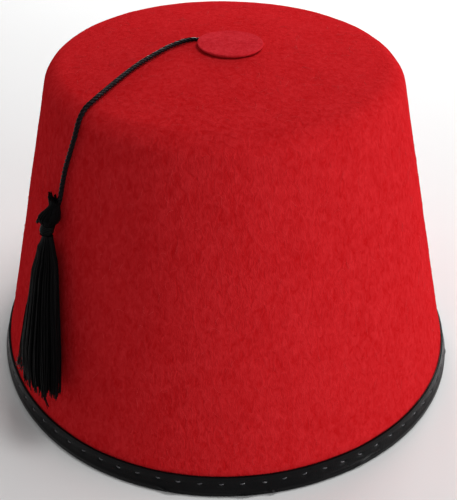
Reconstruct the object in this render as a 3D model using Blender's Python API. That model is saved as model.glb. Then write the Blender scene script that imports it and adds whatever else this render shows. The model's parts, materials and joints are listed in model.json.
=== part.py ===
"""A red felt fez: a felt crown, a bound rim, a felt button, and a cord that ends in a tassel.

Metres, +Z up. The origin is at the middle of the rim's foot, and the front is at -Y.
"""

import math

import bmesh
import bpy
from mathutils import Vector

# Crown, one piece of felt
FOOT_RADIUS = 0.0953  # outside of the felt, at the height of the floor
TOP_RADIUS = 0.0640  # where the straight side would meet a flat top
CROWN_HEIGHT = 0.1248  # from the floor to that same corner
SHOULDER_RADIUS = 0.0075  # rounding between the side and the top
TOP_DOME = 0.0048  # rise of the middle of the top
FELT_THICKNESS = 0.0020

# Binding, a tape folded over the felt's edge
BINDING_HEIGHT = 0.00875  # outside leg
BINDING_INSIDE_HEIGHT = 0.0078  # inside leg
BINDING_THICKNESS = 0.0007
BINDING_FOLD = 0.0007  # rounding of the two lower edges

# Button, a felt disc on the top
BUTTON_RADIUS = 0.0118
BUTTON_THICKNESS = 0.0013
BUTTON_PLACE = (0.0019, -0.0005)
TUNNEL_REACH = 0.0075  # the button is lifted this far to each side of the cord
TUNNEL_THINNING = 0.4  # share of that lift by which the button is pressed thinner

# Cord and tassel
CORD_DIAMETER = 0.0018
CORD_SPACING = 2.1 * CORD_DIAMETER
CORD_END_SHARE = 0.5  # its end is pressed thin under the button
CORD_PRESSED = 0.0060  # length of that stretch
TASSEL_AZIMUTH = -140.5  # degrees, of the neck
TASSEL_DROP = 0.0398  # from the crown's corner down to the neck's top
HEAD_HEIGHT = 0.0120  # from the neck's top to the cut ends above the head
HEAD_WIDTH = 0.0100
HEAD_DEPTH = 0.0086
NECK_HEIGHT = 0.0040
NECK_WIDTH = 0.0038
NECK_DEPTH = 0.0032
NECK_SHIFT = 0.14  # sideways shift of the neck's top, as a share of half of HEAD_WIDTH
WRAP_THICKNESS = 0.0006
WRAP_VALLEY = 0.55  # height of the hollow between two turns, as a share of WRAP_THICKNESS
SKIRT_LENGTH = 0.0550
SKIRT_WIDTH = 0.0192
SKIRT_DEPTH = 0.0096
LOCK_GROOVE = 0.14  # depth of the grooves between locks, as a share of the skirt's radius
GROOVE_LENGTH = 0.93  # length of the threads in a groove, as a share of the locks beside it
HOLLOW_WIDTH = 0.65  # width of the hollow among the cut ends, as a share of the skirt's
HOLLOW_FLOOR = 0.1  # how far its middle comes down towards the cut ends

CLEARANCE = 0.0003  # gap between pieces that touch

# Lobes of the soft felt at its foot, which die out at the top:
# waves around, azimuth of a crest in degrees, height as a share of FOOT_RADIUS
LOBES = (
    (2, -55, 0.0122),
    (3, -2, 0.0063),
    (4, -25, 0.0027),
)

# Shallow dents in the side: azimuth and half width in degrees,
# height and half height as shares of CROWN_HEIGHT, depth as a share of FELT_THICKNESS
DENTS = (
    (-119, 13, 0.66, 0.20, 0.34),
    (-98, 12, 0.44, 0.22, -0.16),
    (-64, 15, 0.52, 0.24, 0.20),
    (-30, 14, 0.30, 0.20, 0.18),
    (52, 20, 0.50, 0.26, 0.36),
    (148, 17, 0.58, 0.24, 0.26),
)

# Tassel head, upwards: rise as a share of HEAD_HEIGHT, sideways shift, width, depth,
# each as a share of half of HEAD_WIDTH or HEAD_DEPTH
HEAD_SECTIONS = (
    (0.03, 0.28, 0.92, 0.91),
    (0.13, 0.36, 1.00, 1.00),
    (0.30, 0.44, 0.93, 0.92),
    (0.45, 0.48, 0.74, 0.74),
    (0.56, 0.28, 0.50, 0.50),
    (0.65, -0.06, 0.31, 0.31),
    (0.82, -0.34, 0.34, 0.34),
    (1.00, -0.42, 0.39, 0.36),
)

# Tassel skirt, downwards: drop as a share of SKIRT_LENGTH, sideways shift, width, depth,
# each as a share of half of SKIRT_WIDTH or SKIRT_DEPTH
SKIRT_SECTIONS = (
    (0.00, 0.02, 0.23, 0.38),
    (0.04, -0.04, 0.34, 0.55),
    (0.10, -0.01, 0.48, 0.76),
    (0.25, 0.21, 0.69, 0.91),
    (0.42, 0.41, 0.76, 0.94),
    (0.58, 0.56, 0.88, 0.98),
    (0.76, 0.69, 1.00, 1.00),
    (0.89, 0.83, 1.00, 1.00),
    (1.00, 0.96, 0.95, 0.92),
)

# Length of each lock around the skirt, as a share of SKIRT_LENGTH
LOCK_LENGTHS = (1.00, 0.95, 1.04, 0.98, 1.06, 0.93, 1.02, 0.97, 1.00, 0.94, 1.05, 0.96)

# The cord's route along its middle, from under the button to the head of the tassel
CORD_ROUTE = (
    (-0.0070, 0.0045, 0.1303),
    (-0.0100, 0.0042, 0.1305),
    (-0.0138, 0.0026, 0.1306),
    (-0.0193, -0.0026, 0.1304),
    (-0.0245, -0.0096, 0.1301),
    (-0.0295, -0.0169, 0.1296),
    (-0.0342, -0.0250, 0.1288),
    (-0.0387, -0.0336, 0.1279),
    (-0.0422, -0.0402, 0.1270),
    (-0.0447, -0.0434, 0.1256),
    (-0.0466, -0.0456, 0.1226),
    (-0.0483, -0.0467, 0.1175),
    (-0.0504, -0.0466, 0.1116),
    (-0.0526, -0.0465, 0.1054),
    (-0.0542, -0.0469, 0.0995),
    (-0.0549, -0.0477, 0.0963),
    (-0.0556, -0.0486, 0.0937),
)

SEGMENTS = 72  # around the crown and its binding
TOP_RINGS = (0.82, 0.64, 0.46, 0.30, 0.15)  # shares of the flat top's radius
BUTTON_RINGS = (0.22, 0.44, 0.66, 0.86)  # shares of the button's flat radius
BUTTON_SEGMENTS = 40
POINTS_ON_LOCK = 4
WRAP_SEGMENTS = 24
WRAP_TURNS = 4

SLOPE = math.atan2(FOOT_RADIUS - TOP_RADIUS, CROWN_HEIGHT)


def clear_scene():
    for item in list(bpy.data.objects):
        bpy.data.objects.remove(item)


def linear(red, green, blue):
    """A linear colour from one in 0 to 255 as seen on a screen."""
    return [((share / 255 + 0.055) / 1.055) ** 2.4 for share in (red, green, blue)] + [1.0]


def finish_of(name, colour, roughness):
    material = bpy.data.materials.new(name)
    material.use_nodes = True
    shader = material.node_tree.nodes["Principled BSDF"]
    shader.inputs["Base Color"].default_value = linear(*colour)
    shader.inputs["Roughness"].default_value = roughness
    shader.inputs["Metallic"].default_value = 0.0
    return material


def lofted(name, rings, start=None, end=None):
    """A closed body through rings of points, ended by two points or joined back to its first ring."""
    shape = bmesh.new()
    loops = [[shape.verts.new(point) for point in ring] for ring in rings]
    pairs = list(zip(loops, loops[1:]))
    if start is None:
        pairs.append((loops[-1], loops[0]))
    count = len(rings[0])
    for low, high in pairs:
        for i in range(count):
            after = (i + 1) % count
            shape.faces.new((low[i], low[after], high[after], high[i]))
    for tip, loop in ((start, loops[0]), (end, loops[-1])):
        if tip is None:
            continue
        apex = shape.verts.new(tip)
        for i in range(count):
            shape.faces.new((apex, loop[i], loop[(i + 1) % count]))
    bmesh.ops.recalc_face_normals(shape, faces=shape.faces)
    mesh = bpy.data.meshes.new(name)
    shape.to_mesh(mesh)
    shape.free()
    mesh.shade_smooth()
    mesh.set_sharp_from_angle(angle=math.radians(40))
    body = bpy.data.objects.new(name, mesh)
    bpy.context.scene.collection.objects.link(body)
    return body


def side_radius(height, inset=0.0):
    """Radius of the straight side at a height, on a line moved in from the felt's outside."""
    return FOOT_RADIUS - height * math.tan(SLOPE) - inset / math.cos(SLOPE)


def dome_rise(radius):
    return TOP_DOME * max(0.0, 1 - (radius / TOP_RADIUS) ** 2)


def wander(azimuth, height):
    """How far the felt stands out of round, with its lobes and dents."""
    fade = min(1.0, max(0.0, 1 - height / CROWN_HEIGHT))
    out = 0.0
    for waves, crest, share in LOBES:
        out += fade * share * FOOT_RADIUS * math.cos(waves * (azimuth - math.radians(crest)))
    for middle, half_width, level, half_height, depth in DENTS:
        turn = math.degrees(azimuth) - middle
        across = ((turn + 180) % 360 - 180) / half_width
        along = (height / CROWN_HEIGHT - level) / half_height
        out -= depth * FELT_THICKNESS * math.exp(-(across**2) - along**2)
    return out


def ring_at(radius, height):
    points = []
    for i in range(SEGMENTS):
        azimuth = math.tau * i / SEGMENTS
        out = radius + wander(azimuth, height)
        points.append((out * math.cos(azimuth), out * math.sin(azimuth), height))
    return points


def crown_profile(inset, foot):
    """Radius and height up the felt's line moved in by inset, from the foot to the last ring of the top."""
    fillet = max(SHOULDER_RADIUS - inset, SHOULDER_RADIUS / 10)
    middle_height = CROWN_HEIGHT - inset - fillet
    middle_radius = side_radius(middle_height, inset + fillet)
    side_end = middle_height + fillet * math.sin(SLOPE)
    side_steps = 9
    profile = []
    for i in range(side_steps):
        height = foot + (side_end - foot) * i / side_steps
        profile.append((side_radius(height, inset), height))
    fillet_steps = 6
    for i in range(fillet_steps + 1):
        angle = SLOPE + (math.pi / 2 - SLOPE) * i / fillet_steps
        radius = middle_radius + fillet * math.cos(angle)
        height = middle_height + fillet * math.sin(angle)
        profile.append((radius, height + dome_rise(radius)))
    for share in TOP_RINGS:
        radius = middle_radius * share
        profile.append((radius, CROWN_HEIGHT - inset + dome_rise(radius)))
    return profile


def make_crown():
    foot = BINDING_THICKNESS + CLEARANCE
    outside = [ring_at(*row) for row in crown_profile(0.0, foot)]
    inside = [ring_at(*row) for row in crown_profile(FELT_THICKNESS, foot)]
    under_pole = (0.0, 0.0, CROWN_HEIGHT - FELT_THICKNESS + TOP_DOME)
    pole = (0.0, 0.0, CROWN_HEIGHT + TOP_DOME)
    crown = lofted("crown", inside[::-1] + outside, under_pole, pole)
    crown.data.materials.append(finish_of("red_felt", (186, 28, 33), 0.95))


def make_binding():
    outside = -CLEARANCE - BINDING_THICKNESS
    outside_lining = -CLEARANCE
    inside_lining = FELT_THICKNESS + CLEARANCE
    inside = inside_lining + BINDING_THICKNESS
    fold = BINDING_FOLD
    section = [
        (side_radius(BINDING_HEIGHT, outside), BINDING_HEIGHT),
        (side_radius(fold, outside), fold),
        (side_radius(0, outside) - fold * 0.3, fold * 0.3),
        (side_radius(0, outside) - fold, 0.0),
        (side_radius(0, inside) + fold, 0.0),
        (side_radius(0, inside) + fold * 0.3, fold * 0.3),
        (side_radius(fold, inside), fold),
        (side_radius(BINDING_INSIDE_HEIGHT, inside), BINDING_INSIDE_HEIGHT),
        (side_radius(BINDING_INSIDE_HEIGHT, inside_lining), BINDING_INSIDE_HEIGHT),
        (side_radius(BINDING_THICKNESS, inside_lining), BINDING_THICKNESS),
        (side_radius(BINDING_THICKNESS, outside_lining), BINDING_THICKNESS),
        (side_radius(BINDING_HEIGHT, outside_lining), BINDING_HEIGHT),
    ]
    binding = lofted("rim_binding", [ring_at(*row) for row in section])
    binding.data.materials.append(finish_of("black_tape", (30, 30, 34), 0.45))


def tunnel_lift(x, y):
    """How far the button is lifted over the end of the cord."""
    start = Vector(CORD_ROUTE[0][:2])
    run = Vector(CORD_ROUTE[2][:2]) - start
    along = min(1.0, max(0.0, (Vector((x, y)) - start).dot(run) / run.length_squared))
    away = (Vector((x, y)) - start - run * along).length
    flat = CORD_DIAMETER / 2 + 4 * CLEARANCE
    share = min(1.0, max(0.0, (TUNNEL_REACH - away) / (TUNNEL_REACH - flat)))
    return (CORD_DIAMETER - CLEARANCE / 2) * share * share * (3 - 2 * share)


def make_button():
    def button_point(x, y, through):
        """A point of the button, through being 0 on its underside and 1 on its top."""
        lift = tunnel_lift(x, y)
        underside = CROWN_HEIGHT + dome_rise(math.hypot(x, y)) + CLEARANCE + lift
        return (x, y, underside + through * (BUTTON_THICKNESS - TUNNEL_THINNING * lift))

    def button_ring(radius, through):
        points = []
        for i in range(BUTTON_SEGMENTS):
            angle = math.tau * i / BUTTON_SEGMENTS
            x = BUTTON_PLACE[0] + radius * math.cos(angle)
            y = BUTTON_PLACE[1] + radius * math.sin(angle)
            points.append(button_point(x, y, through))
        return points

    edge = 0.25
    inner = BUTTON_RADIUS - BUTTON_THICKNESS * edge
    rings = [button_ring(inner * share, 0.0) for share in BUTTON_RINGS]
    rings.append(button_ring(inner, 0.0))
    rings.append(button_ring(BUTTON_RADIUS, edge))
    rings.append(button_ring(BUTTON_RADIUS, 1 - edge))
    rings.append(button_ring(inner, 1.0))
    rings += [button_ring(inner * share, 1.0) for share in BUTTON_RINGS[::-1]]
    bottom = button_point(*BUTTON_PLACE, 0.0)
    top = button_point(*BUTTON_PLACE, 1.0)
    button = lofted("crown_button", rings, bottom, top)
    button.data.materials.append(finish_of("red_felt_button", (190, 33, 40), 0.95))


def smooth_line(points, spacing):
    """Points about that far apart along a smooth curve through the route's own points."""
    route = [Vector(point) for point in points]
    route = [2 * route[0] - route[1]] + route + [2 * route[-1] - route[-2]]
    steps = 40
    fine = [route[1]]
    for before, here, after, beyond in zip(route, route[1:], route[2:], route[3:]):
        for i in range(1, steps + 1):
            t = i / steps
            bend = (2 * before - 5 * here + 4 * after - beyond) * t * t
            twist = (3 * here - before - 3 * after + beyond) * t**3
            fine.append(0.5 * (2 * here + (after - before) * t + bend + twist))
    length = sum((b - a).length for a, b in zip(fine, fine[1:]))
    step = length / round(length / spacing)
    line = [fine[0]]
    walked = 0.0
    for a, b in zip(fine, fine[1:]):
        walked += (b - a).length
        if walked >= step * len(line) - step / 1000:
            line.append(b)
    return line


def make_cord():
    line = smooth_line(CORD_ROUTE, CORD_SPACING)
    curve = bpy.data.curves.new("tassel_cord", "CURVE")
    curve.dimensions = "3D"
    curve.bevel_depth = CORD_DIAMETER / 2
    curve.bevel_resolution = 2
    curve.use_fill_caps = True
    spline = curve.splines.new("POLY")
    spline.points.add(len(line) - 1)
    for number, (point, place) in enumerate(zip(spline.points, line)):
        point.co = (*place, 1.0)
        pressed = max(0.0, 1 - number * CORD_SPACING / CORD_PRESSED)
        point.radius = 1 - (1 - CORD_END_SHARE) * pressed
    cord =bpy.data.objects.new("tassel_cord", curve)
    bpy.context.scene.collection.objects.link(cord)
    curve.materials.append(finish_of("black_cord", (24, 20, 23), 0.5))


def section_ring(height, sideways, half_width, half_depth, gap, count, groove=0.0):
    """A ring of points around a tassel section that hangs beside the crown."""
    radius = side_radius(height)
    azimuth = math.radians(TASSEL_AZIMUTH) + sideways / radius
    radius += wander(azimuth, height)
    outward = Vector((math.cos(azimuth), math.sin(azimuth), 0.0))
    along = Vector((-math.sin(azimuth), math.cos(azimuth), 0.0))
    normal = outward * math.cos(SLOPE) + Vector((0.0, 0.0, math.sin(SLOPE)))
    middle = outward * radius + Vector((0.0, 0.0, height)) + normal * (half_depth + gap)
    ring = []
    for i in range(count):
        angle = math.tau * i / count
        reach = 1 - groove if i % POINTS_ON_LOCK == 0 else 1.0
        across = along * (half_width * reach * math.cos(angle))
        ring.append(middle + across + normal * (half_depth * reach * math.sin(angle)))
    return ring


def ring_middle(ring):
    return sum(ring, Vector()) / len(ring)


def between(rows, place):
    """Values of a table at a place along its first column."""
    for low, high in zip(rows, rows[1:]):
        if place <= high[0]:
            share = (place - low[0]) / (high[0] - low[0])
            return [a + (b - a) * share for a, b in zip(low[1:], high[1:])]
    return list(rows[-1][1:])


def make_tassel():
    count = POINTS_ON_LOCK * len(LOCK_LENGTHS)
    neck_top = CROWN_HEIGHT - TASSEL_DROP
    neck_foot = neck_top - NECK_HEIGHT
    hang = CLEARANCE + (HEAD_DEPTH - NECK_DEPTH) / 2
    rings = []
    for rise, shift, width, depth in HEAD_SECTIONS[::-1]:
        half_width = width * HEAD_WIDTH / 2
        half_depth = depth * HEAD_DEPTH / 2
        gap = CLEARANCE + (1 - depth) * HEAD_DEPTH / 4
        height = neck_top + rise * HEAD_HEIGHT
        sideways = shift * HEAD_WIDTH / 2
        groove = LOCK_GROOVE / 2
        rings.append(section_ring(height, sideways, half_width, half_depth, gap, count, groove))
    for height, shift in ((neck_top, NECK_SHIFT), (neck_foot, 0.0)):
        sideways = shift * HEAD_WIDTH / 2
        rings.append(
            section_ring(height, sideways, NECK_WIDTH / 2, NECK_DEPTH / 2, hang, count)
        )

    # Every point of a skirt section goes down by its own lock's length.
    for number, (drop, *_) in enumerate(SKIRT_SECTIONS):
        ring = []
        for i in range(count):
            lock = LOCK_LENGTHS[i // POINTS_ON_LOCK]
            if i % POINTS_ON_LOCK == 0:
                lock = min(lock, LOCK_LENGTHS[i // POINTS_ON_LOCK - 1]) * GROOVE_LENGTH
            place = drop * (1 + (lock - 1) * drop)
            shift, width, depth = between(SKIRT_SECTIONS, place)
            half_width = width * SKIRT_WIDTH / 2
            half_depth = depth * SKIRT_DEPTH / 2
            gap = hang + (BINDING_THICKNESS + 3 * CLEARANCE - hang) * min(place, 1.0)
            height = neck_foot - place * SKIRT_LENGTH
            sideways = shift * SKIRT_WIDTH / 2
            groove = LOCK_GROOVE if number else 0.0
            section = section_ring(height, sideways, half_width, half_depth, gap, count, groove)
            ring.append(section[i])
        rings.append(ring)
    before, ends = rings[-2:]
    hollow_middle = ring_middle(before)
    rings.append([hollow_middle.lerp(point, HOLLOW_WIDTH) for point in before])
    tuft_middle = ring_middle(rings[0])
    bottom = hollow_middle.lerp(ring_middle(ends), HOLLOW_FLOOR)
    tassel = lofted("tassel", rings, tuft_middle, bottom)
    tassel.data.materials.append(finish_of("black_rayon", (12, 10, 11), 0.5))


def make_wrap():
    """The thread wound around the tassel's neck."""
    count = WRAP_SEGMENTS
    top = CROWN_HEIGHT - TASSEL_DROP - CLEARANCE
    foot = CROWN_HEIGHT - TASSEL_DROP - NECK_HEIGHT + CLEARANCE
    hang = CLEARANCE + (HEAD_DEPTH - NECK_DEPTH) / 2
    top_shift = NECK_SHIFT * HEAD_WIDTH / 2

    def wrap_ring(height, beyond):
        share = (height - foot) / (top - foot)
        half_width = NECK_WIDTH / 2 + CLEARANCE + beyond
        half_depth = NECK_DEPTH / 2 + CLEARANCE + beyond
        gap = hang - CLEARANCE - beyond
        return section_ring(height, share * top_shift, half_width, half_depth, gap, count)

    turn = (top - foot) / WRAP_TURNS
    rings = [wrap_ring(foot, 0.0)]
    for i in range(WRAP_TURNS):
        for along, share in ((0.0, WRAP_VALLEY), (0.28, 1.0), (0.72, 1.0)):
            rings.append(wrap_ring(foot + (i + along) * turn, share * WRAP_THICKNESS))
    rings.append(wrap_ring(top, WRAP_VALLEY * WRAP_THICKNESS))
    rings.append(wrap_ring(top, 0.0))
    wrap = lofted("tassel_wrap", rings)
    wrap.data.materials.append(finish_of("black_thread", (20, 18, 20), 0.4))


clear_scene()
make_crown()
make_binding()
make_button()
make_cord()
make_tassel()
make_wrap()
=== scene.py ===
"""A red felt fez with a black bound rim and a black tassel, finished piece by piece. Metres, +Z up."""

import json
import math
import random

import bpy
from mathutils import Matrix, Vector, noise

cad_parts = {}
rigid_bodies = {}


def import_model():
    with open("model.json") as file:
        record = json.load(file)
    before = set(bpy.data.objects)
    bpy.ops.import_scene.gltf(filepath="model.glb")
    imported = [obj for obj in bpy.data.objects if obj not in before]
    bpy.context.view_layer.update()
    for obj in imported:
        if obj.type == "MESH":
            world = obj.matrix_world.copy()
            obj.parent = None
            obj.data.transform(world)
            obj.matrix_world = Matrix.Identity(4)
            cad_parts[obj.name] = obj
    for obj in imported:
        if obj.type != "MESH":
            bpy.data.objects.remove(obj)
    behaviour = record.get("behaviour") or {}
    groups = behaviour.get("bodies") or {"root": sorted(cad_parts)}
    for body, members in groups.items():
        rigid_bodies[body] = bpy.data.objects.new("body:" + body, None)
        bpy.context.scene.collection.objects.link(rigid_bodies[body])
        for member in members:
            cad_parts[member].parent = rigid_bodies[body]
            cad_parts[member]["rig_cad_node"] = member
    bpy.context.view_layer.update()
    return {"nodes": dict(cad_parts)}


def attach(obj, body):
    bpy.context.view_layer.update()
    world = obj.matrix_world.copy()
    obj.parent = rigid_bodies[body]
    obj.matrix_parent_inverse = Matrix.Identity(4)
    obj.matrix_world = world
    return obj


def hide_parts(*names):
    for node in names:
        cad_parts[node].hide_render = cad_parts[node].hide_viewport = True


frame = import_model()

# Studio: a plain pale floor under the fez, soft daylight panels around it, and the
# photograph's own view from in front and above. None of it is part of the fez.
CAMERA_PLACE = (0.0, -0.29164, 0.24651)
CAMERA_TURN = (54.641, -0.427, -0.068)  # degrees about X, Y and Z
CAMERA_LENS = 61.2
FLOOR_SIZE = 6.0
PANEL_AIM = Vector((0.0, 0.0, 0.07))
PANEL_AWAY = 1.2
PANEL_SIZE = 0.5


class Sum:
    """A node socket that takes part in plain arithmetic, each step as one Math node."""

    def __init__(self, nodes, socket):
        self.nodes = nodes
        self.socket = socket

    def math(self, operation, *others):
        return self.nodes.add("ShaderNodeMath", {"operation": operation}, [self, *others])

    def __add__(self, other):
        return self.math("ADD", other)

    def __radd__(self, other):
        return self.math("ADD", other)

    def __mul__(self, other):
        return self.math("MULTIPLY", other)

    def __rmul__(self, other):
        return self.math("MULTIPLY", other)


class Finish:
    """The nodes of one material, from its coordinates to its shader."""

    def __init__(self, name):
        self.material = bpy.data.materials.new(name)
        self.material.use_nodes = True
        self.tree = self.material.node_tree
        self.shader = self.tree.nodes["Principled BSDF"]
        self.place = self.add("ShaderNodeTexCoord", output="Object")

    def add(self, kind, settings=None, values=(), output=None):
        """A node of that kind, its settings, and the values or links of its sockets."""
        node = self.tree.nodes.new(kind)
        for name, value in (settings or {}).items():
            setattr(node, name, value)
        pairs = values.items() if isinstance(values, dict) else enumerate(values)
        for name, value in pairs:
            if isinstance(value, Sum):
                self.tree.links.new(value.socket, node.inputs[name])
            else:
                node.inputs[name].default_value = value
        return Sum(self, node.outputs[output or 0])

    def noise(self, size, detail=3.0, stretch=(1, 1, 1), roughness=0.5, distortion=0.0):
        """Noise with grains of about that size in metres, from 0 to 1."""
        scale = tuple(1 / (size * s) for s in stretch)
        there = self.add(
            "ShaderNodeMapping", {}, {"Vector": self.place, "Scale": scale}
        )
        values = {
            "Vector": there,
            "Scale": 1.0,
            "Detail": detail,
            "Roughness": roughness,
            "Distortion": distortion,
        }
        return self.add("ShaderNodeTexNoise", {}, values)

    def spread(self, value, low, high):
        """The value carried from low to high onto 0 to 1 and clamped."""
        return self.add("ShaderNodeMapRange", {}, [value, low, high, 0.0, 1.0])

    def mix(self, share, first, second):
        """A colour between two others."""
        settings = {"data_type": "RGBA"}
        return self.add("ShaderNodeMix", settings, {0: share, 6: first, 7: second}, 2)

    def bump(self, height, distance):
        """A normal from a relief of that height in metres."""
        values = {"Height": height, "Distance": distance, "Strength": 1.0}
        return self.add("ShaderNodeBump", {}, values)

    def set(self, **sockets):
        """Sets the shader's sockets, whose names are given with _ for each space."""
        for name, value in sockets.items():
            socket = self.shader.inputs[name.replace("_", " ")]
            if isinstance(value, Sum):
                self.tree.links.new(value.socket, socket)
            else:
                socket.default_value = value


def colour(red, green, blue):
    """A linear colour from one in 0 to 255 as seen on a screen."""
    return (*(((share / 255 + 0.055) / 1.055) ** 2.4 for share in (red, green, blue)), 1.0)


def panel(name, azimuth, elevation, power):
    """A square soft light that faces the middle of the fez."""
    turn = math.radians(azimuth)
    rise = math.radians(elevation)
    out = Vector((math.cos(turn) * math.cos(rise), math.sin(turn) * math.cos(rise), math.sin(rise)))
    aim = out.to_track_quat("Z", "Y").to_euler()
    place = PANEL_AIM + out * PANEL_AWAY
    bpy.ops.object.light_add(type="AREA", location=place, rotation=aim)
    light = bpy.context.object
    light.name = name
    light.visible_camera = False
    light.data.size = PANEL_SIZE
    light.data.energy = power


bpy.ops.object.camera_add(
    location=CAMERA_PLACE, rotation=[math.radians(turn) for turn in CAMERA_TURN]
)
camera = bpy.context.object
camera.data.sensor_width = 36.0
camera.data.lens = CAMERA_LENS
camera.data.clip_start = 0.01
bpy.context.scene.camera = camera
bpy.context.scene.view_settings.view_transform = "Standard"

bpy.ops.mesh.primitive_plane_add(size=FLOOR_SIZE, location=(0, 0, 0))
floor = bpy.context.object
floor.name = "studio_floor"
floor_finish = Finish("pale_floor")
floor_finish.set(Base_Color=(0.8, 0.8, 0.8, 1.0), Roughness=1.0, Specular_IOR_Level=0.0)
floor.data.materials.append(floor_finish.material)

world = bpy.data.worlds.new("studio")
world.use_nodes = True
world.node_tree.nodes["Background"].inputs["Color"].default_value = (1.0, 1.0, 1.0, 1.0)
world.node_tree.nodes["Background"].inputs["Strength"].default_value = 0.27
bpy.context.scene.world = world
panel("front_low", 270, 6, 0.95)
panel("front_right", 330, 6, 8.1)
panel("back_low", 90, 6, 12.0)
panel("back_right", 60, 22, 6.2)
panel("back_left", 160, 22, 1.1)
panel("overhead", 0, 70, 6.2)

# Cord: three plies of black rayon twisted together, 1.8 mm thick. It is sewn in under
# the button, lies over the top and the shoulder, and runs on into the tassel's head.
CORD_DIAMETER = 0.0018
CORD_END_SHARE = 0.5  # its end is pressed thin under the button
CORD_PRESSED = 0.0060  # length of that stretch
PLY_PITCH = 0.0046
PLY_COUNT = 3
PLY_SHARE = 0.47  # a ply's thickness as a share of the cord's
CORD_ROUTE = (
    (-0.0070, 0.0045, 0.1301),
    (-0.0100, 0.0042, 0.1303),
    (-0.0138, 0.0026, 0.1305),
    (-0.0193, -0.0026, 0.1304),
    (-0.0245, -0.0096, 0.1301),
    (-0.0295, -0.0169, 0.1296),
    (-0.0342, -0.0250, 0.1288),
    (-0.0387, -0.0336, 0.1279),
    (-0.0422, -0.0402, 0.1270),
    (-0.0447, -0.0434, 0.1256),
    (-0.0466, -0.0456, 0.1226),
    (-0.0483, -0.0467, 0.1175),
    (-0.0504, -0.0466, 0.1116),
    (-0.0526, -0.0465, 0.1054),
    (-0.0542, -0.0469, 0.0995),
    (-0.0549, -0.0477, 0.0963),
    (-0.0556, -0.0486, 0.0937),
)
CORD_INSIDE_TASSEL = (
    (-0.0576, -0.0502, 0.0895),
    (-0.0592, -0.0501, 0.0850),
    (-0.0604, -0.0503, 0.0810),
    (-0.0625, -0.0519, 0.0745),
    (-0.0641, -0.0532, 0.0700),
)


def smooth_line(points, spacing):
    """Points about that far apart along a smooth curve through the route's own points."""
    route = [Vector(point) for point in points]
    route = [2 * route[0] - route[1]] + route + [2 * route[-1] - route[-2]]
    steps = 60
    fine = [route[1]]
    for before, here, after, beyond in zip(route, route[1:], route[2:], route[3:]):
        for i in range(1, steps + 1):
            t = i / steps
            bend = (2 * before - 5 * here + 4 * after - beyond) * t * t
            twist = (3 * here - before - 3 * after + beyond) * t**3
            fine.append(0.5 * (2 * here + (after - before) * t + bend + twist))
    length = sum((b - a).length for a, b in zip(fine, fine[1:]))
    step = length / round(length / spacing)
    line = [fine[0]]
    walked = 0.0
    for a, b in zip(fine, fine[1:]):
        walked += (b - a).length
        if walked >= step * len(line) - step / 1000:
            line.append(b)
    return line


def strands(name, lines, diameter, sides=6):
    """One mesh of round strands, each along its own line of (point, share of the diameter)."""
    curve = bpy.data.curves.new(name, "CURVE")
    curve.dimensions = "3D"
    curve.bevel_depth = diameter / 2
    curve.bevel_resolution = (sides - 4) // 2
    curve.use_fill_caps = True
    for line in lines:
        spline = curve.splines.new("POLY")
        spline.points.add(len(line) - 1)
        for point, (place, share) in zip(spline.points, line):
            point.co = (*place, 1.0)
            point.radius = share
    strand = bpy.data.objects.new(name, curve)
    bpy.context.scene.collection.objects.link(strand)
    bpy.ops.object.select_all(action="DESELECT")
    strand.select_set(True)
    bpy.context.view_layer.objects.active = strand
    bpy.ops.object.convert(target="MESH")
    strand = bpy.context.object
    strand.data.shade_smooth()
    return strand


def cord_share(walked):
    """Thickness of the cord that far from its start, as a share of its diameter."""
    return 1 - (1 - CORD_END_SHARE) * max(0.0, 1 - walked / CORD_PRESSED)


def twisted(line, plies, reach, pitch, start=0.0):
    """Lines of plies wound around a line, each that far out from it."""
    side = Vector((0.0, 0.0, 1.0)).cross(line[1] - line[0]).normalized()
    wound = [[] for _ in range(plies)]
    walked = 0.0
    for i, here in enumerate(line):
        run = (line[min(i + 1, len(line) - 1)] - line[max(i - 1, 0)]).normalized()
        side = (side - run * side.dot(run)).normalized()
        other = run.cross(side)
        if i:
            walked += (here - line[i - 1]).length
        for ply in range(plies):
            angle = start + math.tau * (walked / pitch + ply / plies)
            out = side * math.cos(angle) + other * math.sin(angle)
            share = cord_share(walked)
            wound[ply].append((here + out * (reach * share), share))
    return wound


cord_line = smooth_line(CORD_ROUTE + CORD_INSIDE_TASSEL, 0.00025)
ply_radius = CORD_DIAMETER / 2 * PLY_SHARE
cord_plies = twisted(cord_line, PLY_COUNT, CORD_DIAMETER / 2 - ply_radius, PLY_PITCH)
cord = strands("cord_plies", cord_plies, 2 * ply_radius, 8)
cord_finish = Finish("black_cord")
cord_sheen = cord_finish.noise(0.0004)
cord_finish.set(
    Base_Color=cord_finish.mix(cord_sheen, colour(6, 4, 6), colour(24, 17, 21)),
    Roughness=0.40,
    Specular_IOR_Level=0.09,
    Normal=cord_finish.bump(cord_finish.noise(0.00018), 0.00006),
)
cord.data.materials.append(cord_finish.material)
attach(cord, "root")
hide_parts("tassel_cord")

# Crown: one piece of red wool felt, 2 mm thick, blocked over a form while it is wet.
# It is out of round at the foot and a little dented at the side, and its top is domed.
FOOT_RADIUS = 0.0953
TOP_RADIUS = 0.0640
CROWN_HEIGHT = 0.1248
SHOULDER_RADIUS = 0.0075
TOP_DOME = 0.0048
FELT_THICKNESS = 0.0020
FELT_FOOT = 0.0010
FELT_STEPS = 288
FELT_SWELL = 0.00016  # height of the felt's soft swells, and their width
FELT_SWELL_WIDTH = 0.012
FELT_LUMP = 0.00006  # and of its small lumps
FELT_LUMP_WIDTH = 0.0040
FELT_PUFF = 0.00025  # the felt swells over the top edge of the sewn tape
PUFF_HEIGHT = 0.0112
PUFF_WIDTH = 0.0020
FELT_MIDDLE = Vector((0.0, 0.0, 0.06))
SLOPE = math.atan2(FOOT_RADIUS - TOP_RADIUS, CROWN_HEIGHT)
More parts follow.
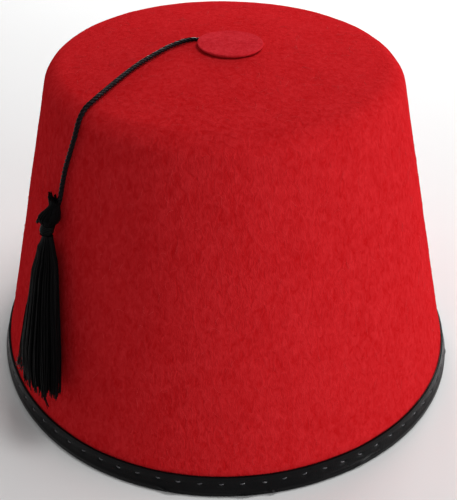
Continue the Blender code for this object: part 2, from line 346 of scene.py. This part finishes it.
# Lobes: waves around, azimuth of a crest in degrees, height as a share of FOOT_RADIUS
LOBES = (
    (2, -55, 0.0122),
    (3, -2, 0.0063),
    (4, -25, 0.0027),
)
# Dents: azimuth and half width in degrees, height and half height as shares of
# CROWN_HEIGHT, depth as a share of FELT_THICKNESS
DENTS = (
    (-119, 13, 0.66, 0.20, 0.34),
    (-98, 12, 0.44, 0.22, -0.16),
    (-64, 15, 0.52, 0.24, 0.20),
    (-30, 14, 0.30, 0.20, 0.18),
    (52, 20, 0.50, 0.26, 0.36),
    (148, 17, 0.58, 0.24, 0.26),
)


def side_radius(height, inset=0.0):
    """Radius of the straight side at a height, on a line moved in from the felt's outside."""
    return FOOT_RADIUS - height * math.tan(SLOPE) - inset / math.cos(SLOPE)


def dome_rise(radius):
    """How far the domed top stands above its edge at a radius."""
    return TOP_DOME * max(0.0, 1 - (radius / TOP_RADIUS) ** 2)


def wander(azimuth, height):
    """How far the felt stands out of round, with its lobes and dents."""
    fade = min(1.0, max(0.0, 1 - height / CROWN_HEIGHT))
    out = 0.0
    for waves, crest, share in LOBES:
        out += fade * share * FOOT_RADIUS * math.cos(waves * (azimuth - math.radians(crest)))
    for middle, half_width, level, half_height, depth in DENTS:
        turn = math.degrees(azimuth) - middle
        across = ((turn + 180) % 360 - 180) / half_width
        along = (height / CROWN_HEIGHT - level) / half_height
        out -= depth * FELT_THICKNESS * math.exp(-(across**2) - along**2)
    return out


def crown_profile(inset, side_steps, fillet_steps, top_steps):
    """Radius and height up the felt's line moved in by inset, from the foot to the pole."""
    fillet = SHOULDER_RADIUS - inset
    middle_height = CROWN_HEIGHT - inset - fillet
    middle_radius = side_radius(middle_height, inset + fillet)
    side_end = middle_height + fillet * math.sin(SLOPE)
    profile = []
    for i in range(side_steps):
        height = FELT_FOOT + (side_end - FELT_FOOT) * i / side_steps
        profile.append((side_radius(height, inset), height))
    for i in range(fillet_steps + 1):
        angle = SLOPE + (math.pi / 2 - SLOPE) * i / fillet_steps
        radius = middle_radius + fillet * math.cos(angle)
        height = middle_height + fillet * math.sin(angle)
        profile.append((radius, height + dome_rise(radius)))
    for i in range(1, top_steps + 1):
        radius = middle_radius * (1 - i / top_steps)
        profile.append((radius, CROWN_HEIGHT - inset + dome_rise(radius)))
    return profile


def turned(name, section, steps):
    """A closed section of (radius, height) spun once round the upright axis."""
    bpy.ops.object.select_all(action="DESELECT")
    bpy.ops.mesh.primitive_circle_add(vertices=len(section), radius=0.01)
    piece = bpy.context.object
    piece.name = name
    for vertex, (radius, height) in zip(piece.data.vertices, section):
        vertex.co = (radius, 0.0, height)
    bpy.ops.object.mode_set(mode="EDIT")
    bpy.ops.mesh.select_all(action="SELECT")
    bpy.ops.mesh.spin(steps=steps, angle=math.tau, center=(0, 0, 0), axis=(0, 0, 1))
    bpy.ops.mesh.select_all(action="SELECT")
    bpy.ops.mesh.remove_doubles(threshold=0.00001)
    bpy.ops.mesh.delete_loose(use_verts=True, use_edges=True, use_faces=False)
    bpy.ops.mesh.select_all(action="SELECT")
    bpy.ops.mesh.normals_make_consistent(inside=False)
    bpy.ops.object.mode_set(mode="OBJECT")
    piece.data.shade_smooth()
    return piece


def out_of_round(piece):
    """Moves a turned piece's points out and in with the felt's lobes and dents."""
    for vertex in piece.data.vertices:
        x, y, height = vertex.co
        radius = math.hypot(x, y)
        if radius > FELT_THICKNESS:
            share = 1 + wander(math.atan2(y, x), height) / radius
            vertex.co = (x * share, y * share, height)
    piece.data.update()


def uneven(place):
    """A point of the felt moved out or in by its soft swells and small lumps."""
    swell = FELT_SWELL * noise.noise(place / FELT_SWELL_WIDTH)
    lump = FELT_LUMP * noise.noise(place / FELT_LUMP_WIDTH)
    return place + (place - FELT_MIDDLE).normalized() * (swell + lump)


outer_wall = crown_profile(0.0, 62, 12, 28)
inner_wall = crown_profile(FELT_THICKNESS, 24, 5, 10)
crown = turned("crown_felt", outer_wall + inner_wall[::-1], FELT_STEPS)
out_of_round(crown)
for vertex in crown.data.vertices:
    x, y, height = vertex.co
    puff = FELT_PUFF * math.exp(-(((height - PUFF_HEIGHT) / PUFF_WIDTH) ** 2))
    out = Vector((x, y, 0.0)).normalized() * puff
    vertex.co = uneven(vertex.co + out)


def felt_finish(name, dark, light):
    """Pressed wool felt: fibres in small swirls with tone that differs at random, and painted shade
    that darkens the hollows of its relief.
    """
    felt = Finish(name)
    flecks = felt.noise(0.0017, 4.0, (1, 1, 1.9), 0.62, 0.8)
    fibres = felt.noise(0.0006, 3.0, (1, 1, 2.4), 0.6, 0.4)
    clouds = felt.noise(0.0120, 2.0)
    # shade: random tone of the felt, plus painted shade where the bump relief below is low
    shade = (
        felt.spread(flecks, 0.33, 0.67) * 0.66
        + felt.spread(fibres, 0.30, 0.70) * 0.16
        + felt.spread(clouds, 0.30, 0.70) * 0.18
    )
    nap = felt.bump(flecks * 0.6 + fibres * 0.4, 0.0005)
    felt.set(
        Base_Color=felt.mix(shade, dark, light),
        Roughness=0.95,
        Specular_IOR_Level=0.0,
        Normal=nap,
    )
    return felt.material


crown.data.materials.append(felt_finish("red_felt", colour(176, 16, 20), colour(201, 39, 44)))
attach(crown, "root")
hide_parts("crown")

# Loose fibres: single wool fibres that lie on the felt and stand off it a little, as on
# any pressed felt. They are a little lighter than the felt behind them.
FIBRE_DIAMETER = 0.00007
FIBRES_ON_SIDE = 640
FIBRES_ON_TOP = 220
fibre_chance = random.Random(3)


def on_side(azimuth, height, out):
    """A point beside the crown's straight side, that far out from the felt."""
    radius = side_radius(height, -out) + wander(azimuth, height)
    return Vector((radius * math.cos(azimuth), radius * math.sin(azimuth), height))


def on_top(x, y, out):
    """A point over the crown's top, that far above the felt."""
    return Vector((x, y, CROWN_HEIGHT + dome_rise(math.hypot(x, y)) + out))


def fibre_line(start, heading, place):
    """A fibre's line, from its start in the two directions of a surface given by place."""
    length = fibre_chance.uniform(0.0012, 0.0042)
    bend = fibre_chance.uniform(-1.6, 1.6)
    lift = fibre_chance.uniform(0.00004, 0.0003)
    first, second = start
    line = []
    steps = 6
    for i in range(steps + 1):
        out = lift * math.sin(math.pi * i / steps)
        line.append((uneven(place(first, second, out)), 1.0))
        first += length / steps * math.cos(heading)
        second += length / steps * math.sin(heading)
        heading += bend / steps
    return line


fibre_lines = []
for _ in range(FIBRES_ON_SIDE):
    around = fibre_chance.uniform(0, math.tau * FOOT_RADIUS)
    height = fibre_chance.uniform(0.011, 0.114)
    fibre_lines.append(
        fibre_line(
            (around, height),
            fibre_chance.gauss(math.pi / 2, 0.7),
            lambda first, second, out: on_side(first / FOOT_RADIUS, second, out),
        )
    )
for _ in range(FIBRES_ON_TOP):
    reach = 0.057 * math.sqrt(fibre_chance.random())
    angle = fibre_chance.uniform(0, math.tau)
    start = (reach * math.cos(angle), reach * math.sin(angle))
    fibre_lines.append(fibre_line(start, fibre_chance.uniform(0, math.tau), on_top))
fibres = strands("felt_fibres", fibre_lines, FIBRE_DIAMETER, 4)
fibre_finish = Finish("red_fibres")
fibre_tone = fibre_finish.noise(0.02)
fibre_finish.set(
    Base_Color=fibre_finish.mix(fibre_tone, colour(186, 26, 31), colour(214, 66, 70)),
    Roughness=0.7,
    Specular_IOR_Level=0.1,
)
fibres.data.materials.append(fibre_finish.material)
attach(fibres, "root")

# Button: a disc of the same felt, cut with a round die and glued on the middle of the
# top. It hides the cord's sewn end, and is pressed thinner where it passes over it.
BUTTON_RADIUS = 0.0118
BUTTON_THICKNESS = 0.0013
BUTTON_PLACE = (0.0019, -0.0005)
BUTTON_GAP = 0.0003
BUTTON_STEPS = 120
BUTTON_EDGE = 0.0002  # rounding of its cut edge
BUTTON_UNDERCUT = 0.0006  # the die cuts it slightly larger at the top
TUNNEL_HEIGHT = 0.00105
TUNNEL_REACH = 0.0075  # the button is lifted this far to each side of the cord
TUNNEL_THINNING = 0.72  # share of that lift by which the button is pressed thinner


def tunnel_lift(x, y):
    """How far the button is lifted over the end of the cord."""
    start = Vector(CORD_ROUTE[0][:2])
    run = Vector(CORD_ROUTE[2][:2]) - start
    along = min(1.0, max(0.0, (Vector((x, y)) - start).dot(run) / run.length_squared))
    away = (Vector((x, y)) - start - run * along).length
    flat = CORD_DIAMETER / 2 + 4 * BUTTON_GAP
    share = min(1.0, max(0.0, (TUNNEL_REACH - away) / (TUNNEL_REACH - flat)))
    return TUNNEL_HEIGHT * share * share * (3 - 2 * share)


flat_radius = BUTTON_RADIUS - BUTTON_EDGE
button_section = [((flat_radius - BUTTON_UNDERCUT) * i / 10, 0.0) for i in range(11)]
button_section += [
    (flat_radius, BUTTON_UNDERCUT),
    (BUTTON_RADIUS, BUTTON_THICKNESS * 0.6),
    (BUTTON_RADIUS, BUTTON_THICKNESS - BUTTON_EDGE),
]
button_section += [(flat_radius * i / 16, BUTTON_THICKNESS) for i in range(16, -1, -1)]
button = turned("button_felt", button_section, BUTTON_STEPS)
for vertex in button.data.vertices:
    x = vertex.co.x + BUTTON_PLACE[0]
    y = vertex.co.y + BUTTON_PLACE[1]
    lift = tunnel_lift(x, y)
    through = vertex.co.z / BUTTON_THICKNESS
    thickness = BUTTON_THICKNESS - TUNNEL_THINNING * lift
    vertex.co = uneven(on_top(x, y, BUTTON_GAP + lift + through * thickness))
button.data.update()
bpy.ops.object.shade_smooth_by_angle(angle=math.radians(40))
button.data.materials.append(
    felt_finish("red_felt_button", colour(179, 24, 32), colour(203, 49, 58))
)
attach(button, "root")
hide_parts("crown_button")

# Binding: a black grained tape folded over the felt's edge, inside and out, and sewn
# through with one row of stitches. The stitches pull small dimples into it, and its
# lower fold creases here and there.
BINDING_HEIGHT = 0.00825
BINDING_INSIDE_HEIGHT = 0.0078
BINDING_THICKNESS = 0.0007
BINDING_FOLD = 0.0012
BINDING_GAP = 0.0003
STITCHES = 78
STEPS_A_STITCH = 14
STITCH_PITCH = math.tau / STITCHES
STITCH_START = math.radians(-94.9)
STITCH_HEIGHT = 0.0055
STITCH_LENGTH = 0.0017
STITCH_DIAMETER = 0.0006
DIMPLE_DEPTH = 0.00026
DIMPLE_LENGTH = 0.0014
DIMPLE_HEIGHT = 0.0010
ROW_DEPTH = 0.00010
RIDGE_HEIGHT = 0.0024  # the tape stands out most just above its lower fold
RIDGE_WIDTH = 0.0008
RIDGE = 0.00022
EDGE_WAVE = 0.00014
FOLD_LIFT = 0.0004
CREASE_WIDTH = 0.0004
# Creases: azimuth and slant in degrees, height, half length and how far they stand out
CREASES = (
    (-101.5, -12, 0.0017, 0.0030, 0.00065),
    (-85.6, -6, 0.0014, 0.0036, 0.00065),
    (-79.6, -20, 0.0016, 0.0018, 0.00070),
    (-58.0, 14, 0.0018, 0.0034, 0.00030),
    (-12.0, -18, 0.0016, 0.0026, 0.00040),
    (37.0, 10, 0.0018, 0.0032, 0.00045),
    (84.0, -14, 0.0015, 0.0028, 0.00040),
    (121.0, 8, 0.0017, 0.0034, 0.00045),
    (168.0, -16, 0.0016, 0.0024, 0.00040),
)


def tape_relief(azimuth, height):
    """How far the tape's outside stands out, with its stitched row and creases."""
    turns = (azimuth - STITCH_START) / STITCH_PITCH
    along = (turns - round(turns)) * STITCH_PITCH * FOOT_RADIUS
    row = (height - STITCH_HEIGHT) / DIMPLE_HEIGHT
    out = -ROW_DEPTH * math.exp(-(row**2))
    out += RIDGE * math.exp(-(((height - RIDGE_HEIGHT) / RIDGE_WIDTH) ** 2))
    out -= DIMPLE_DEPTH * math.exp(-((along / DIMPLE_LENGTH) ** 2) - row**2)
    for middle, slant, level, half_length, stand in CREASES:
        turn = (math.degrees(azimuth) - middle + 180) % 360 - 180
        across = math.radians(turn) * FOOT_RADIUS
        up = height - level
        tilt = math.radians(slant)
        ahead = across * math.cos(tilt) + up * math.sin(tilt)
        aside = up * math.cos(tilt) - across * math.sin(tilt)
        out += stand * math.exp(-((ahead / half_length) ** 2) - (aside / CREASE_WIDTH) ** 2)
    return out


outside = -BINDING_GAP - BINDING_THICKNESS
inside = FELT_THICKNESS + BINDING_GAP + BINDING_THICKNESS
outside_lining = outside + BINDING_THICKNESS
inside_lining = inside - BINDING_THICKNESS
leg_steps = 26
binding_section = []
for i in range(leg_steps + 1):
    height = BINDING_HEIGHT + (BINDING_FOLD - BINDING_HEIGHT) * i / leg_steps
    binding_section.append((side_radius(height, outside), height))
for i in range(1, 6):
    angle = math.pi / 2 * i / 5
    round_in = BINDING_FOLD * (1 - math.cos(angle))
    height = BINDING_FOLD * (1 - math.sin(angle))
    binding_section.append((side_radius(height, outside) - round_in, height))
for i in range(5):
    angle = math.pi / 2 * i / 5
    round_in = BINDING_FOLD * (1 - math.sin(angle))
    height = BINDING_FOLD * (1 - math.cos(angle))
    binding_section.append((side_radius(height, inside) + round_in, height))
for i in range(5):
    height = BINDING_FOLD + (BINDING_INSIDE_HEIGHT - BINDING_FOLD) * i / 4
    binding_section.append((side_radius(height, inside), height))
binding_section += [
    (side_radius(BINDING_INSIDE_HEIGHT, inside_lining), BINDING_INSIDE_HEIGHT),
    (side_radius(BINDING_THICKNESS, inside_lining), BINDING_THICKNESS),
    (side_radius(BINDING_THICKNESS, outside_lining), BINDING_THICKNESS),
    (side_radius(BINDING_HEIGHT, outside_lining), BINDING_HEIGHT),
]
binding = turned("rim_tape", binding_section, STITCHES * STEPS_A_STITCH)
for vertex in binding.data.vertices:
    x, y, height = vertex.co
    radius = math.hypot(x, y)
    azimuth = math.atan2(y, x)
    wave = noise.noise(Vector((x, y, 0.0)) / 0.011)
    if radius > side_radius(height, outside + BINDING_THICKNESS / 2):
        relief = tape_relief(azimuth, height)
        vertex.co = (x * (1 + relief / radius), y * (1 + relief / radius), height)
    if height > BINDING_INSIDE_HEIGHT:
        vertex.co.z += EDGE_WAVE * wave
    if height < BINDING_FOLD / 2:
        vertex.co.z += FOLD_LIFT * max(0.0, wave - 0.1)
out_of_round(binding)
bpy.ops.object.shade_smooth_by_angle(angle=math.radians(50))
tape = Finish("black_tape")
tape_patches = tape.noise(0.0040, 3.0)
tape.set(
    Base_Color=tape.mix(tape_patches, colour(2, 2, 3), colour(9, 9, 11)),
    Roughness=tape.spread(tape_patches, 0.2, 0.8) * 0.14 + 0.24,
    Specular_IOR_Level=0.09,
    Normal=tape.bump(tape.noise(0.0006, 3.0), 0.00008),
)
binding.data.materials.append(tape.material)
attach(binding, "root")
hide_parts("rim_binding")

# Stitches: short floats of a black sewing thread that shines a little, one in each
# dimple of the tape, outside and inside.
stitch_chance = random.Random(11)
stitch_lines = []
for out in (-outside, -inside):
    for stitch in range(STITCHES):
        azimuth = STITCH_START + stitch * STITCH_PITCH + stitch_chance.uniform(-0.003, 0.003)
        height = STITCH_HEIGHT + stitch_chance.uniform(-0.00025, 0.00025)
        rise = stitch_chance.uniform(-0.00025, 0.00025)
        line = []
        for share in (-1.0, -0.7, 0.0, 0.7, 1.0):
            around = azimuth + share * STITCH_LENGTH / 2 / FOOT_RADIUS
            proud = STITCH_DIAMETER * (0.28 - 0.5 * share**2)
            proud -= DIMPLE_DEPTH + ROW_DEPTH if out > 0 else 0.0
            place = on_side(around, height + share * rise, out + math.copysign(1, out) * proud)
            line.append((place, 1 - 0.35 * abs(share) ** 3))
        stitch_lines.append(line)
stitches = strands("rim_stitches", stitch_lines, STITCH_DIAMETER, 8)
stitch_finish = Finish("stitch_thread")
# the thread's grey colour, lighter than black thread, is a painted glint on each stitch
stitch_finish.set(
    Base_Color=stitch_finish.mix(
        stitch_finish.noise(0.0004), colour(22, 21, 25), colour(66, 64, 70)
    ),
    Roughness=0.3,
    Specular_IOR_Level=0.9,
)
stitches.data.materials.append(stitch_finish.material)
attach(stitches, "root")

# Tassel skirt: some nine hundred black rayon threads that hang from the neck in locks.
# Their cut ends are uneven, and some stray ones splay out over the binding.
TASSEL_AZIMUTH = math.radians(-140.5)
NECK_TOP = 0.0850
NECK_FOOT = 0.0810
HEAD_HEIGHT = 0.0120
HEAD_WIDTH = 0.0100
HEAD_DEPTH = 0.0086
NECK_WIDTH = 0.0038
NECK_DEPTH = 0.0032
SKIRT_LENGTH = 0.0550
SKIRT_WIDTH = 0.0192
SKIRT_DEPTH = 0.0096
HANG_GAP = 0.0003
NECK_GAP = HANG_GAP + (HEAD_DEPTH - NECK_DEPTH) / 2
SKIRT_GAP = BINDING_THICKNESS + 3 * HANG_GAP
GAP_CLOSES = 0.16  # drop at which the skirt has come near the felt
THREAD_DIAMETER = 0.00032
LOCKS = 44
THREADS_IN_LOCK = 20
STRAY_THREADS = 44
# Sections: drop as a share of SKIRT_LENGTH, then sideways shift, width and depth, each
# as a share of half of SKIRT_WIDTH or SKIRT_DEPTH
SKIRT_SECTIONS = (
    (0.00, 0.08, 0.23, 0.34),
    (0.02, 0.09, 0.23, 0.33),
    (0.05, 0.12, 0.28, 0.36),
    (0.10, 0.12, 0.43, 0.50),
    (0.25, 0.30, 0.63, 0.76),
    (0.42, 0.49, 0.71, 0.88),
    (0.58, 0.62, 0.84, 0.96),
    (0.76, 0.72, 0.99, 1.00),
    (0.89, 0.83, 1.00, 1.00),
    (1.00, 0.96, 0.95, 0.92),
)


def beside_crown(height, sideways, out):
    """A point beside the crown, that far sideways of the tassel's neck and out from the felt."""
    radius = side_radius(height)
    azimuth = TASSEL_AZIMUTH + sideways / radius
    radius += wander(azimuth, height)
    rise = math.sin(SLOPE)
    flat = math.cos(SLOPE)
    normal = Vector((math.cos(azimuth) * flat, math.sin(azimuth) * flat, rise))
    return Vector((radius * math.cos(azimuth), radius * math.sin(azimuth), height)) + normal * out


def between(rows, place):
    """Values of a table at a place along its first column."""
    for low, high in zip(rows, rows[1:]):
        if place <= high[0]:
            share = max(0.0, (place - low[0]) / (high[0] - low[0]))
            return [a + (b - a) * share for a, b in zip(low[1:], high[1:])]
    return list(rows[-1][1:])


def skirt_point(drop, across, depth):
    """A point of the skirt, across and depth being shares from -1 to 1 of its half sizes."""
    shift, width, thick = between(SKIRT_SECTIONS, drop)
    half_depth = thick * SKIRT_DEPTH / 2
    gap = NECK_GAP + (SKIRT_GAP - NECK_GAP) * min(drop / GAP_CLOSES, 1.0)
    sideways = (shift + across * width) * SKIRT_WIDTH / 2
    out = gap + half_depth * (1 + depth)
    return beside_crown(NECK_FOOT - drop * SKIRT_LENGTH, sideways, out)


chance = random.Random(7)
skirt_lines = []
for lock in range(LOCKS):
    reach = math.sqrt((lock + 0.5) / LOCKS)
    angle = lock * math.radians(137.5)
    lock_across = reach * math.cos(angle)
    lock_depth = reach * math.sin(angle)
    lock_length = chance.uniform(0.94, 1.05)
    for _ in range(THREADS_IN_LOCK):
        spread_angle = chance.uniform(0, math.tau)
        spread = 0.26 * math.sqrt(chance.random())
        across = lock_across + spread * math.cos(spread_angle)
        depth = lock_depth + spread * math.sin(spread_angle)
        size = max(1.0, math.hypot(across, depth))
        across /= size
        depth /= size
        length = lock_length * chance.uniform(0.93, 1.02)
        wave = chance.uniform(0, math.tau)
        line = []
        steps = 16
        for i in range(steps + 1):
            drop = length * (i / steps) ** 1.3
            gather = 0.45 * drop**2
            sway = 0.04 * drop * math.sin(wave + 7 * drop)
            here_across = across + (lock_across - across) * gather + sway
            here_depth = depth + (lock_depth - depth) * gather
            line.append((skirt_point(drop, here_across, here_depth), 1.0))
        skirt_lines.append(line)


def stray(start, across, depth, end):
    """A thread that leaves the skirt at a drop and bends away to an end point."""
    line = []
    steps = 14
    for i in range(steps + 1):
        share = i / steps
        drop = start + (1 - start) * share
        line.append((skirt_point(drop, across, depth).lerp(end, share**2.4), 1.0))
    return line


for _ in range(STRAY_THREADS):
    share = chance.random()
    end = beside_crown(
        0.0215 - 0.0070 * share + chance.uniform(-0.0012, 0.0012),
        -0.0120 + 0.0100 * share + chance.uniform(-0.0012, 0.0012),
        0.0046 - 0.0018 * share + chance.uniform(-0.0008, 0.0012),
    )
    skirt_lines.append(
        stray(chance.uniform(0.3, 0.6), -0.92, chance.uniform(-0.1, 0.6), end)
    )
for _ in range(6):
    end = beside_crown(
        0.0128 + chance.uniform(-0.0004, 0.0016),
        0.0092 + chance.uniform(-0.0004, 0.0004),
        0.0014 + chance.uniform(0.0, 0.0005),
    )
    skirt_lines.append(stray(0.6, 0.0, chance.uniform(0.2, 0.5), end))
skirt = strands("tassel_skirt", skirt_lines, THREAD_DIAMETER, 4)
rayon = Finish("black_rayon")
rayon.set(
    Base_Color=rayon.mix(rayon.noise(0.0012, 2.0), colour(2, 1, 2), colour(7, 5, 6)),
    Roughness=0.42,
    Specular_IOR_Level=0.045,
    Normal=rayon.bump(rayon.noise(0.0003), 0.00004),
)

# Tassel head: the same threads folded up over the cord's end, tied in at a waist above
# it, with their cut ends sticking up as a tuft and out at the lower left.
HEAD_THREADS = 200
TUFT_CLUMPS = 7
TUFT_FOOT = 0.48  # rise at which the tuft leaves the waist
FLARE_THREADS = 40
# Sections: rise as a share of HEAD_HEIGHT, then sideways shift, width and depth, each as
# a share of half of HEAD_WIDTH or HEAD_DEPTH
HEAD_SECTIONS = (
    (-0.06, 0.14, 0.38, 0.37),
    (0.02, 0.02, 0.56, 0.74),
    (0.11, 0.02, 0.68, 0.84),
    (0.23, 0.12, 0.60, 0.76),
    (0.35, 0.22, 0.50, 0.60),
    (0.45, 0.26, 0.41, 0.46),
    (0.52, 0.24, 0.37, 0.36),
    (0.66, 0.18, 0.44, 0.38),
    (0.80, 0.14, 0.54, 0.42),
)


def head_point(rise, across, depth):
    """A point of the head, across and depth being shares from -1 to 1 of its half sizes."""
    shift, width, thick = between(HEAD_SECTIONS, rise)
    half_depth = thick * HEAD_DEPTH / 2
    lean = HEAD_DEPTH / 4 if rise > 0 else HEAD_DEPTH / 2
    out = HANG_GAP + (1 - thick) * lean + half_depth * (1 + depth)
    return beside_crown(NECK_TOP + rise * HEAD_HEIGHT, (shift + across * width) * HEAD_WIDTH / 2, out)


clumps = []
for clump in range(TUFT_CLUMPS):
    angle = math.tau * clump / TUFT_CLUMPS
    clumps.append((1.5 * math.cos(angle), 1.2 * math.sin(angle), chance.uniform(0.64, 0.84)))
head_lines = []
for thread in range(HEAD_THREADS):
    angle = math.tau * thread / HEAD_THREADS + chance.uniform(-0.03, 0.03)
    puff = chance.uniform(0.88, 1.04) if thread % 3 else chance.uniform(0.35, 0.75)
    clump_across, clump_depth, clump_end = clumps[thread * TUFT_CLUMPS // HEAD_THREADS]
    end = clump_end * chance.uniform(0.84, 1.04)
    twist = chance.uniform(0.3, 0.8)
    line = []
    steps = 16
    for i in range(steps + 1):
        rise = -0.05 + (end + 0.05) * i / steps
        turn = angle + twist * rise
        across = puff * math.cos(turn)
        depth = puff * math.sin(turn)
        loose = max(0.0, (rise - TUFT_FOOT) / (1 - TUFT_FOOT))
        across += (clump_across - across) * 0.7 * loose
        depth += (clump_depth - depth) * 0.7 * loose
        line.append((head_point(rise, across, depth), 1.0))
    head_lines.append(line)
for _ in range(FLARE_THREADS):
    share = chance.random()
    tip = beside_crown(
        0.0824 + 0.0022 * share + chance.uniform(-0.0004, 0.0004),
        -0.0054 + 0.0036 * share + chance.uniform(-0.0005, 0.0005),
        0.0052 + 0.0014 * share + chance.uniform(-0.0006, 0.0006),
    )
    depth = chance.uniform(-0.3, 0.7)
    line = []
    steps = 8
    for i in range(steps + 1):
        ahead = i / steps
        base = head_point(0.52 - 0.40 * ahead, -0.75, depth)
        line.append((base.lerp(tip, ahead**1.4), 1.0))
    head_lines.append(line)
head = strands("tassel_head", head_lines, THREAD_DIAMETER * 1.25, 6)

# Core: the neck of the CAD tassel's own solid, cut off at both ends and shrunk, so that
# no light passes between the threads where they are tied.
CORE_MARGIN = 0.0010
bpy.ops.object.select_all(action="DESELECT")
core = frame["nodes"]["tassel"].copy()
core.data = core.data.copy()
core.name = "tassel_core"
del core["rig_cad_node"]
bpy.context.scene.collection.objects.link(core)
core.select_set(True)
bpy.context.view_layer.objects.active = core
bpy.ops.object.mode_set(mode="EDIT")
bpy.ops.mesh.select_all(action="SELECT")
bpy.ops.mesh.remove_doubles(threshold=0.00001)
bpy.ops.mesh.bisect(
    plane_co=(0, 0, NECK_FOOT + CORE_MARGIN), plane_no=(0, 0, -1), clear_outer=True, use_fill=True
)
bpy.ops.mesh.select_all(action="SELECT")
bpy.ops.mesh.bisect(
    plane_co=(0, 0, NECK_TOP - CORE_MARGIN),
    plane_no=(0, 0, 1),
    clear_outer=True,
    use_fill=True,
)
bpy.ops.mesh.select_all(action="SELECT")
bpy.ops.transform.shrink_fatten(value=-0.0004)
bpy.ops.object.mode_set(mode="OBJECT")
for piece in (skirt, head, core):
    piece.data.materials.clear()
    piece.data.materials.append(rayon.material)
    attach(piece, "root")
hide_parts("tassel")

# Neck thread: one black thread wound round the neck five times, so that it holds the
# folded threads on the cord.
WRAP_TURNS = 5
WRAP_THREAD = 0.00074
wrap_line = []
wrap_steps = 24 * WRAP_TURNS
for i in range(wrap_steps + 1):
    share = i / wrap_steps
    angle = math.tau * WRAP_TURNS * share
    height = NECK_FOOT + WRAP_THREAD / 2 + share * (NECK_TOP - NECK_FOOT - WRAP_THREAD)
    half_width = NECK_WIDTH / 2 + WRAP_THREAD * 0.5
    half_depth = NECK_DEPTH / 2 + WRAP_THREAD * 0.5
    sideways = 0.0007 * share + half_width * math.cos(angle)
    out = HANG_GAP + HEAD_DEPTH / 2 + half_depth * math.sin(angle)
    wrap_line.append((beside_crown(height, sideways, out), 1.0))
wrap = strands("neck_thread", [wrap_line], WRAP_THREAD, 8)
neck_finish = Finish("neck_thread")
neck_finish.set(
    Base_Color=neck_finish.mix(neck_finish.noise(0.0005), colour(3, 3, 3), colour(12, 12, 11)),
    Roughness=0.42,
    Specular_IOR_Level=0.06,
    Normal=neck_finish.bump(neck_finish.noise(0.00018), 0.00006),
)
wrap.data.materials.append(neck_finish.material)
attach(wrap, "root")
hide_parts("tassel_wrap")
